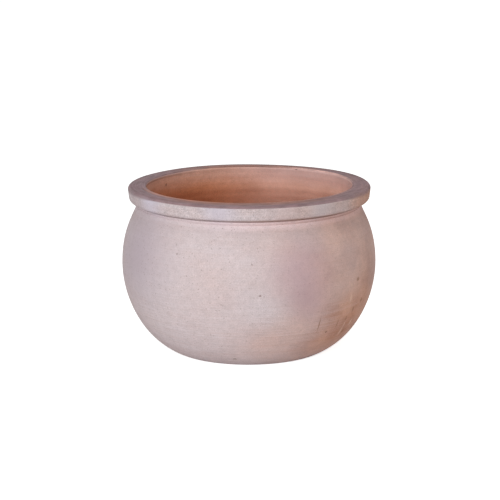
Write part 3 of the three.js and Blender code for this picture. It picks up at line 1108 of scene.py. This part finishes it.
def land_mask(tree, at, grain):
    """1 on the flat top. At the rim's left and right ends it fades out further down the band."""
    at_ends = step(tree, maths(tree, "ABSOLUTE", at.x), *RIM_ENDS)
    ragged = plus(tree, plus(tree, at.z, grain["Speckle"], LAND_RAGGEDNESS), at_ends, DROP_AT_ENDS)
    softness = between(tree, at_ends, *LAND_SOFTNESS)
    top = POT_HEIGHT - LAND_DROP
    return step(tree, ragged, top, maths(tree, "ADD", softness, top))


def land_dirt_and_shade_colour(tree, at, grain, cloudy):
    sideways = step(tree, maths(tree, "ABSOLUTE", at.x), *RIM_SIDES)
    outer = times(tree, step(tree, at.radius, *OUTER_LAND), OUTER_GREY)
    dirt_and_shade = blend(tree, maths(tree, "MAXIMUM", sideways, outer), LAND_BROWN, LAND_GREY)
    in_front = opposite(tree, step(tree, at.y, *LIP_FRONT))
    at_left = opposite(tree, step(tree, at.x, *LIP_LEFT))
    rubbed = times(tree, ring_mask(tree, at.radius, LIP_LINE, LIP_LINE_REACH), in_front)
    rubbed = times(tree, rubbed, between(tree, at_left, RUBBED_ELSEWHERE, RUBBED_LEFT))
    dirt_and_shade = blend(tree, rubbed, dirt_and_shade, LIP_CLAY)
    pink = ring_mask(tree, at.radius, PINK_LINE, PINK_LINE_REACH)
    pink = times(tree, pink, step(tree, at.x, *PINK_RIGHT))
    dirt_and_shade = blend(tree, times(tree, pink, step(tree, at.y, *PINK_BACK)), dirt_and_shade, LIP_PINK)
    # Painted shade: the outer edge behind is darkened where it turns away from the light.
    behind = times(tree, step(tree, at.radius, *OUTER_EDGE), step(tree, at.y, *EDGE_BACK))
    behind = times(tree, behind, between(tree, sideways, EDGE_SHADE_MIDDLE, EDGE_SHADE_SIDES))
    dirt_and_shade = blend(tree, behind, dirt_and_shade, PAINTED_EDGE_SHADE)
    swirled = {"Place": at.place, "Pitch": SWIRL_PITCH, "Reach": SWIRL_REACH}
    swirls = maths(tree, "SUBTRACT", place_group(tree, wheel_lines, swirled)["Lines"], 0.5)
    level = plus(tree, LEAST_LEVEL, maths(tree, "ADD", cloudy, grain["Speckle"]), LEVEL_BY_CLOUDS)
    return shaded(tree, dirt_and_shade, plus(tree, level, swirls, LEVEL_BY_SWIRLS))


# The flat top's dirt is darkened further as painted shade, since the light only grazes it.
def with_land_dirt_and_shade(tree, at, grain, lines, colour):
    cloudy = noise(tree, at.place, LAND_CLOUD, detail=4.0)
    dirt_and_shade = land_dirt_and_shade_colour(tree, at, grain, cloudy)
    strength = plus(tree, LEAST_DIRT_AND_SHADE, cloudy, DIRT_AND_SHADE_BY_CLOUDS)
    strength = plus(tree, strength, maths(tree, "SUBTRACT", lines, 0.5), DIRT_AND_SHADE_BY_LINES, clamp=True)
    return blend(tree, times(tree, land_mask(tree, at, grain), strength), colour, dirt_and_shade)


print("the flat top is", round((rim_radius - mouth_radius) / MM, 1), "mm wide")

# %% [markdown]
# Under the band rain never washes, so dirt stays in the cove and in the tooled line. Their dark
# rings are that dirt and also painted shade, which the shallow line would not cast by itself. They
# are grey and thin at the left, and brown and thick from the middle on. The clay round them is
# painted a little brighter and warmer: painted light that lifts the shade of the rim's overhang. A
# ring at one height is all that each needs, since the pot is turned.

# %% Dirt, painted shade and painted light under the band
GROOVE_GREY = paint("93807f")
GROOVE_BROWN = paint("91644d")
BROWN_RISES = (-0.10, 0.05)
# Painted light: the clay under the band is brightened, to lift the shade of the rim's overhang.
UNDER_BAND_PAINTED_LIGHT = (1.22, 1.15, 1.15, 1.0)
PAINTED_LIGHT_REACH = 12 * MM
PAINTED_LIGHT_RISES, PAINTED_LIGHT_LEFT = (-0.11, 0.0), 0.25
# Dirt and painted shade in the cove and the tooled line.
COVE_DIRT_AND_SHADE_HEIGHT, COVE_REACH = band_bottom - 0.2 * MM, 3.6 * MM
COVE_RISES, COVE_LEFT, COVE_RIGHT = (-0.16, -0.02), 0.15, 0.60
TOOLED_DIRT_AND_SHADE_HEIGHT, TOOLED_REACH = shoulder + 0.2 * MM, 1.4 * MM
TOOLED_RISES, TOOLED_RIGHT = (-0.12, 0.02), 0.25


# Painted light: brightens the clay just under the band, where the rim's overhang would shade it.
def with_painted_light_under_band(tree, at, on_band, colour):
    under_band = times(tree, ring_mask(tree, at.z, shoulder, PAINTED_LIGHT_REACH), opposite(tree, on_band))
    share = times(tree, under_band, between(tree, step(tree, at.x, *PAINTED_LIGHT_RISES), PAINTED_LIGHT_LEFT, 1.0))
    return blend(tree, share, colour, blend(tree, 1.0, colour, UNDER_BAND_PAINTED_LIGHT, "MULTIPLY"))


# Dirt and painted shade: darkens the cove and the tooled line.
def with_groove_dirt_and_shade(tree, at, colour):
    dirt_and_shade = blend(tree, step(tree, at.x, *BROWN_RISES), GROOVE_GREY, GROOVE_BROWN)
    cove = ring_mask(tree, at.z, COVE_DIRT_AND_SHADE_HEIGHT, COVE_REACH)
    cove = times(tree, cove, between(tree, step(tree, at.x, *COVE_RISES), COVE_LEFT, COVE_RIGHT))
    tooled = ring_mask(tree, at.z, TOOLED_DIRT_AND_SHADE_HEIGHT, TOOLED_REACH)
    tooled = times(tree, tooled, times(tree, step(tree, at.x, *TOOLED_RISES), TOOLED_RIGHT))
    return blend(tree, maths(tree, "MAXIMUM", cove, tooled), colour, dirt_and_shade)


print("the cove is", round(band_bottom / MM, 1), "mm up")

# %% [markdown]
# Now the outside is put together, from the clay out: lime, tinges, painted light at the foot and
# under the band, dirt and painted shade, then marks and holes on top. The order matters, because
# each layer covers the one before it. The relief is only what is too small for the mesh: grain,
# pits and the finest lines.

# %% The finish of the outside
PIT_DARK = paint("7a5a4d")
RUN_BROWN = paint("93694f")
RUN_PALE = paint("e3c3b0")
DARK_RUN_STRENGTH, PALE_RUN_STRENGTH = 0.65, 0.70
PIT_STRENGTH, PORE_STRENGTH = 0.75, 0.30
PEPPERED, PEPPER_LEFT, PEPPER_RIGHT = (-0.05, 0.08), 0.40, 0.24
PRESSED, LINES_BELOW, LINES_ABOVE = (0.06, 0.13), 2.6, 1.0
BELLY_MOTTLE, BAND_MOTTLE = 0.30, 0.60
BELLY_GRIT, BAND_GRIT = 0.85, 1.90
BELLY_LEVEL, BAND_LEVEL = 1.09, 1.01
# Painted light: the foot is lighter, for the light that the floor bounces up.
FOOT_LIGHT_FADES, ABOVE_FOOT_LIGHT = (0.002, 0.036), -0.09
LINE_RELIEF = 0.05
PIT_RELIEF = -0.6
CLAY_ROUGHNESS = 0.86


def with_marks(tree, at, grain, pits, colour):
    dark_runs = mark_mask(tree, at.place, DARK_RUNS, softness=0.9)
    pale_runs = mark_mask(tree, at.place, PALE_RUNS, softness=0.9)
    colour = blend(tree, times(tree, dark_runs, DARK_RUN_STRENGTH), colour, RUN_BROWN)
    colour = blend(tree, times(tree, pale_runs, PALE_RUN_STRENGTH), colour, RUN_PALE)
    pores = times(tree, grain["Pores"], PORE_STRENGTH)
    holes = maths(tree, "MAXIMUM", times(tree, pits, PIT_STRENGTH), pores)
    peppered = between(tree, step(tree, at.x, *PEPPERED), PEPPER_LEFT, PEPPER_RIGHT)
    holes = maths(tree, "MAXIMUM", holes, times(tree, grain["Pin Holes"], peppered))
    return blend(tree, holes, colour, PIT_DARK)


def finish_outside():
    material, tree, shader = new_material("limed_terracotta")
    at = shaded_point(tree)
    grain = place_group(tree, clay_grain, {"Place": at.place})
    lines = place_group(tree, wheel_lines, {"Place": at.place})["Lines"]
    # The rib was pressed harder low on the belly, so its lines show more there.
    pressed = between(tree, step(tree, at.z, *PRESSED), LINES_BELOW, LINES_ABOVE)
    lines = plus(tree, 0.5, maths(tree, "SUBTRACT", lines, 0.5), pressed)
    on_band = step(tree, at.z, band_bottom - MM, band_bottom)
    belly = belly_coat(tree, at)
    coat = plus(tree, belly, on_band, maths(tree, "SUBTRACT", band_coat(tree, at), belly))
    limed = place_group(tree, limed_clay, {
        "Place": at.place, "Coat": coat, "Mottle": between(tree, on_band, BELLY_MOTTLE, BAND_MOTTLE),
        "Grit": between(tree, on_band, BELLY_GRIT, BAND_GRIT), "Speckle": grain["Speckle"], "Lines": lines})
    # The band is a little darker than the belly, and the foot is painted lighter: painted light for the light
    # that the floor bounces up.
    level_and_foot_light = between(tree, on_band, BELLY_LEVEL, BAND_LEVEL)
    level_and_foot_light = plus(tree, level_and_foot_light, step(tree, at.z, *FOOT_LIGHT_FADES), ABOVE_FOOT_LIGHT)
    colour = shaded(tree, tinged(tree, at, limed["Colour"]), level_and_foot_light)
    # Painted light under the band, then dirt and painted shade on the flat top and in the grooves.
    colour = with_painted_light_under_band(tree, at, on_band, colour)
    colour = with_land_dirt_and_shade(tree, at, grain, lines, colour)
    colour = with_groove_dirt_and_shade(tree, at, colour)
    pits = mark_mask(tree, at.place, PITS)
    colour = with_marks(tree, at, grain, pits, colour)
    height = plus(tree, plus(tree, grain["Height"], lines, LINE_RELIEF), pits, PIT_RELIEF)
    roughness = between(tree, limed["Coat"], CLAY_ROUGHNESS, LIME_ROUGHNESS)
    complete(tree, shader, colour, roughness, height)
    shader.inputs["Specular IOR Level"].default_value = CLAY_SPECULAR
    return material


limed_terracotta = finish_outside()
print(limed_terracotta.name, "has", len(limed_terracotta.node_tree.nodes), "nodes")

# %% [markdown]
# ## The inside
# Nobody limes the inside. It is bare orange clay with a pinkish haze where the brush went over the
# lip and where the wash dripped, more at the right. Its colour also holds painted shade: it gets
# deeper further down and at the left, where the rim keeps the light out. The same groups are used,
# with other values. The clay is given to them as a colour that changes over the wall, which is
# simpler than several materials with borders between them.

# %% The colour of the bare clay inside
# The wall's colours also hold painted shade: deeper low down and at the left, where the rim shades it.
TOP_LEFT = paint("dc9f7e")
TOP_RIGHT = paint("eeb9ab")
LOW_LEFT = paint("d08b66")
LOW_RIGHT = paint("e7b6a3")
INSIDE_DEEP = paint("96593a")
RIGHT_OF_MOUTH = (-0.08, 0.08)
LEFT_OF_MOUTH = (-0.14, -0.06)
UPPER_WALL = (0.227, 0.263)
LOW_SHADE_HEIGHTS, LOW_SHADE_STRENGTH = (0.203, 0.214), 0.18
WALL_WAVE = 10 * MM
GREYED_LIP = (POT_HEIGHT - 6 * MM, POT_HEIGHT - 2 * MM)
LIP_SHADE_HEIGHT, LIP_SHADE_REACH = POT_HEIGHT - 5.5 * MM, 2.6 * MM
LIP_STRENGTH = 0.8


def inside_clay(tree, at, to_right, up, wavy_height):
    top = blend(tree, to_right, TOP_LEFT, TOP_RIGHT)
    low = blend(tree, to_right, LOW_LEFT, LOW_RIGHT)
    # Painted shade: the lowest wall that is seen turns towards INSIDE_DEEP, in the front lip's shade.
    low_shade = opposite(tree, step(tree, wavy_height, *LOW_SHADE_HEIGHTS))
    clay = blend(tree, times(tree, low_shade, LOW_SHADE_STRENGTH), blend(tree, up, low, top), INSIDE_DEEP)
    # At the left the lip is greyed like the flat top, and a dark line of painted shade runs under it.
    at_left = times(tree, opposite(tree, step(tree, at.x, *LEFT_OF_MOUTH)), LIP_STRENGTH)
    greyed = times(tree, step(tree, at.z, *GREYED_LIP), at_left)
    under_lip = times(tree, ring_mask(tree, at.z, LIP_SHADE_HEIGHT, LIP_SHADE_REACH), at_left)
    return blend(tree, under_lip, blend(tree, greyed, clay, LAND_GREY), INSIDE_DEEP)


print("the colour turns deeper", round(LOW_SHADE_HEIGHTS[1] / MM), "mm above the ground")

# %% [markdown]
# The inside has two holes that one sees: one burst stone at the left and a chip in the lip. The grain
# is coarser and the lines are wider apart than outside, because fingers and not a rib made them. The
# haze of lime is weak, so it only pales the upper wall.

# %% The finish of the inside
INSIDE_MOTTLE = 0.14
HAZE_LEFT, HAZE_RIGHT = 0.28, 0.40
INSIDE_GRIT_LEFT, INSIDE_GRIT_RIGHT = 0.85, 0.50
DEEP_PATCHES = 0.20
INSIDE_PIT_STRENGTH = 0.85
INSIDE_LINE_RELIEF, INSIDE_PIT_RELIEF = 0.12, -1.0
INSIDE_ROUGHNESS = 0.84
INSIDE_PITS = {
    "left_hole": ((166, 185), 0.0018, 0.0040),
    "lip_chip": ((296, 169), 0.0030, 0.0014),
}


def finish_inside():
    material, tree, shader = new_material("bare_terracotta")
    at = shaded_point(tree)
    grain = place_group(tree, clay_grain, {"Place": at.place, "Grain": 0.0022, "Pore Spacing": 0.014})
    lines = place_group(tree, wheel_lines, {"Place": at.place, "Pitch": 0.0055, "Reach": 0.05})["Lines"]
    to_right = step(tree, at.x, *RIGHT_OF_MOUTH)
    wavy_height = plus(tree, at.z, lines, WALL_WAVE)
    up = step(tree, wavy_height, *UPPER_WALL)
    clay = inside_clay(tree, at, to_right, up, wavy_height)
    haze = times(tree, up, between(tree, to_right, HAZE_LEFT, HAZE_RIGHT))
    grit = between(tree, to_right, INSIDE_GRIT_LEFT, INSIDE_GRIT_RIGHT)
    limed = place_group(tree, limed_clay, {
        "Place": at.place, "Coat": haze, "Mottle": INSIDE_MOTTLE, "Grit": grit,
        "Speckle": grain["Speckle"], "Lines": lines,
        "Clay Pale": clay, "Clay Deep": blend(tree, DEEP_PATCHES, clay, INSIDE_DEEP)})
    pits = mark_mask(tree, at.place, INSIDE_PITS)
    pores = times(tree, grain["Pores"], PORE_STRENGTH)
    holes = maths(tree, "MAXIMUM", times(tree, pits, INSIDE_PIT_STRENGTH), pores)
    colour = blend(tree, holes, limed["Colour"], PIT_DARK)
    height = plus(tree, grain["Height"], lines, INSIDE_LINE_RELIEF)
    height = plus(tree, height, pits, INSIDE_PIT_RELIEF)
    roughness = between(tree, limed["Coat"], INSIDE_ROUGHNESS, LIME_ROUGHNESS)
    complete(tree, shader, colour, roughness, height)
    shader.inputs["Specular IOR Level"].default_value = CLAY_SPECULAR
    return material


bare_terracotta = finish_inside()
print(bare_terracotta.name, "has", len(bare_terracotta.node_tree.nodes), "nodes")

# %% [markdown]
# ## The underside
# The foot stood on the kiln shelf and then on the ground. It is bare clay, scraped by a wire, with
# the ring rubbed pale and a little dust in the recess. Its grain is coarser than the wall's, because
# nobody smoothed it.

# %% The finish of the underside
FOOT_PALE = paint("cf9b80")
FOOT_DEEP = paint("b07b60")
RUBBED_RING, RING_COAT, RECESS_COAT = (0.2 * MM, 1.2 * MM), 0.38, 0.16
FOOT_MOTTLE = 0.45
FOOT_PORE_STRENGTH = 0.5
FOOT_LINE_RELIEF = 0.18
FOOT_ROUGHNESS = 0.88


def finish_under():
    material, tree, shader = new_material("foot_terracotta")
    at = shaded_point(tree)
    grain = place_group(tree, clay_grain, {
        "Place": at.place, "Grain": 0.0030, "Pore Spacing": 0.009, "Pore Share": 0.5})
    lines = place_group(tree, wheel_lines, {"Place": at.place, "Pitch": 0.0028, "Reach": 0.12})["Lines"]
    coat = between(tree, step(tree, at.z, *RUBBED_RING), RING_COAT, RECESS_COAT)
    limed = place_group(tree, limed_clay, {
        "Place": at.place, "Coat": coat, "Mottle": FOOT_MOTTLE, "Speckle": grain["Speckle"],
        "Lines": lines, "Clay Pale": FOOT_PALE, "Clay Deep": FOOT_DEEP})
    pores = times(tree, grain["Pores"], FOOT_PORE_STRENGTH)
    colour = blend(tree, pores, limed["Colour"], PIT_DARK)
    height = plus(tree, grain["Height"], lines, FOOT_LINE_RELIEF)
    roughness = between(tree, limed["Coat"], FOOT_ROUGHNESS, LIME_ROUGHNESS)
    complete(tree, shader, colour, roughness, height)
    shader.inputs["Specular IOR Level"].default_value = CLAY_SPECULAR
    return material


foot_terracotta = finish_under()
print(foot_terracotta.name, "has", len(foot_terracotta.node_tree.nodes), "nodes")

# %% [markdown]
# ## Dressing the bowl
# Every stretch of the outline remembers its part, so each face of the grid knows its finish. One
# could pick faces by their height and angle instead, but then a change of size would move the
# borders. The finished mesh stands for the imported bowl, and rides on the same body.

# %% Dress the bowl
FINISHES = {"outside": limed_terracotta, "inside": bare_terracotta, "under": foot_terracotta}
for finish in FINISHES.values():
    bowl.data.materials.append(finish)
slot_of_part = {part: number for number, part in enumerate(FINISHES)}
columns = grid.shape[1]
slots = np.repeat([slot_of_part[part] for part in row_part], columns)
bowl.data.polygons.foreach_set("material_index", slots.astype(np.int32))

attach(bowl, "pot")
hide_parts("bowl")
print("the bowl has its finishes:", [finish.name for finish in FINISHES.values()])

# %% [markdown]
# ## The drain plug
# A soft rubber stopper is pushed into the hole from the inside when the pot must hold water. It has
# a knob to pull, a flange that lies in the seat, and a stem with sealing ribs, hollow so that it
# can give. It is moulded, so every edge is round and a fine moulding line runs round the knob.

# %% The plug's outline
PLUG_GAP = 0.3 * MM
FLANGE_THICKNESS = 3 * MM
STEM_SHORTFALL = 1.5 * MM
STEM_TAPER = 1.2 * MM
RIB_COUNT = 2
RIB_STAND = 1.2 * MM
RIB_HEIGHT = 2.4 * MM
PLUG_WALL = 3.5 * MM
KNOB_RADIUS = 9 * MM
KNOB_THICKNESS = 5 * MM
KNOB_NECK_RADIUS = 5.5 * MM
KNOB_NECK_HEIGHT = 8 * MM
KNOB_DISH = 0.7 * MM
KNOB_DISH_EDGES = (0.62, 0.35)
MOULD_LINE = 0.15 * MM
GROOVE_DEPTH = 0.5 * MM
GROOVE_OUTER_EDGES = (0.72, 0.70)
GROOVE_INNER_EDGES = (0.66, 0.64)
ROUND_POINTS = 6
PLUG_COLUMNS = 128


def rounded(corners):
    """An outline through corners (radius, height, rounding), each rounded by an arc-like curve."""
    points = []
    for number, (radius, height, rounding) in enumerate(corners):
        here = point(radius, height)
        if rounding == 0:
            points.append(here)
            continue
        before = point(*corners[number - 1][:2]) - here
        after = point(*corners[number + 1][:2]) - here
        start = here + before / np.linalg.norm(before) * rounding
        end = here + after / np.linalg.norm(after) * rounding
        for t in np.linspace(0, 1, ROUND_POINTS):
            points.append((1 - t) ** 2 * start + 2 * t * (1 - t) * here + t ** 2 * end)
    return np.array(points)


def plug_outline():
    """From the roof of the hollow, down the stem's inside, up over ribs, flange and knob."""
    stem_length = seat_top - RECESS - STEM_SHORTFALL
    stem_radius = DRAIN_RADIUS - PLUG_GAP - RIB_STAND
    tip_radius = stem_radius - STEM_TAPER
    hollow_radius = tip_radius - PLUG_WALL
    corners = [
        (0, -PLUG_WALL, 0),
        (hollow_radius, -PLUG_WALL, 1.2 * MM),
        (hollow_radius, -stem_length, 0.4 * MM),
        (tip_radius, -stem_length, 0.9 * MM),
    ]
    for rib in range(RIB_COUNT, 0, -1):
        middle = -rib * stem_length / (RIB_COUNT + 1)
        stem_here = stem_radius + STEM_TAPER * middle / stem_length
        corners += [
            (stem_here, middle - RIB_HEIGHT / 2, 0.5 * MM),
            (stem_radius + RIB_STAND, middle, 0.4 * MM),
            (stem_here, middle + RIB_HEIGHT / 2, 0.5 * MM),
        ]
    neck_top = FLANGE_THICKNESS + KNOB_NECK_HEIGHT
    knob_top = neck_top + KNOB_THICKNESS
    knob_middle = (neck_top + knob_top) / 2
    corners += [
        (stem_radius, 0, 0.4 * MM),
        (flange_radius, 0, 1.0 * MM),
        (flange_radius, FLANGE_THICKNESS, 1.4 * MM),
        (flange_radius * GROOVE_OUTER_EDGES[0], FLANGE_THICKNESS, 0.3 * MM),
        (flange_radius * GROOVE_OUTER_EDGES[1], FLANGE_THICKNESS - GROOVE_DEPTH, 0.3 * MM),
        (flange_radius * GROOVE_INNER_EDGES[0], FLANGE_THICKNESS - GROOVE_DEPTH, 0.3 * MM),
        (flange_radius * GROOVE_INNER_EDGES[1], FLANGE_THICKNESS, 0.3 * MM),
        (KNOB_NECK_RADIUS, FLANGE_THICKNESS, 2.0 * MM),
        (KNOB_NECK_RADIUS, neck_top, 1.2 * MM),
        (KNOB_RADIUS, neck_top, 1.4 * MM),
        (KNOB_RADIUS, knob_middle - MOULD_LINE, 0.1 * MM),
        (KNOB_RADIUS + MOULD_LINE, knob_middle, 0.1 * MM),
        (KNOB_RADIUS, knob_middle + MOULD_LINE, 0.1 * MM),
        (KNOB_RADIUS, knob_top, 1.4 * MM),
        (KNOB_RADIUS * KNOB_DISH_EDGES[0], knob_top, 1.5 * MM),
        (KNOB_RADIUS * KNOB_DISH_EDGES[1], knob_top - KNOB_DISH, 1.5 * MM),
        (0, knob_top - KNOB_DISH, 0),
    ]
    return rounded(corners) + point(0, seat_top + PLUG_GAP)


plug_angles = np.linspace(0, 2 * math.pi, PLUG_COLUMNS, endpoint=False)
plug = mesh_from_grid("rubber_plug", turn(plug_outline(), plug_angles), closed_loop=False)
print(f"plug: {len(plug.data.vertices)} vertices, {volume_of(plug) * 1e6:.1f} cm3 of rubber")

# %% [markdown]
# The rubber is a dull dark grey. It isn't one colour: it pales where it is handled, and lime dust
# settles on what faces up. The dust follows the surface's own direction, not the light, so it stays
# where it is when the plug is lifted out.

# %% The finish of the plug
RUBBER = paint("2f2d2c")
RUBBER_WORN = paint("454240")
LIME_DUST = paint("8d817a")
RUBBER_SPECULAR = 0.5
RUBBER_RELIEF = 0.3 * MM
RUBBER_ROUGHNESS, ROUGHER_BY_DUST = 0.52, 0.35
WORN_SIZE, WORN_EDGES = 8 * MM, (0.42, 0.70)
DUST_SIZE, DUST_EDGES = 6 * MM, (0.46, 0.86)
DUST_BY_SPECKLE, DUST_BY_CLOUDS = 0.5, 0.7
FACING_UP = (0.35, 0.95)
DUST_STRENGTH = 0.6


def finish_plug():
    material, tree, shader = new_material("plug_rubber_finish")
    place = add(tree, "ShaderNodeTexCoord").outputs
    grain = place_group(tree, clay_grain, {
        "Place": place["Object"], "Grain": 0.0006, "Pore Spacing": 0.004, "Pore Share": 0.2})
    worn = step(tree, noise(tree, place["Object"], WORN_SIZE, detail=3.0), *WORN_EDGES)
    up = add(tree, "ShaderNodeSeparateXYZ", {0: place["Normal"]}).outputs[2]
    cloudy = noise(tree, place["Object"], DUST_SIZE, detail=4.0)
    settled = plus(tree, times(tree, grain["Speckle"], DUST_BY_SPECKLE), cloudy, DUST_BY_CLOUDS)
    dust = times(tree, step(tree, up, *FACING_UP), step(tree, settled, *DUST_EDGES))
    rubber = blend(tree, worn, RUBBER, RUBBER_WORN)
    colour = blend(tree, times(tree, dust, DUST_STRENGTH), rubber, LIME_DUST)
    roughness = plus(tree, RUBBER_ROUGHNESS, dust, ROUGHER_BY_DUST)
    complete(tree, shader, colour, roughness, grain["Height"], RUBBER_RELIEF)
    shader.inputs["Specular IOR Level"].default_value = RUBBER_SPECULAR
    return material


plug.data.materials.append(finish_plug())
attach(plug, "plug")
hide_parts("drain_plug")
print("the plug has its finish")
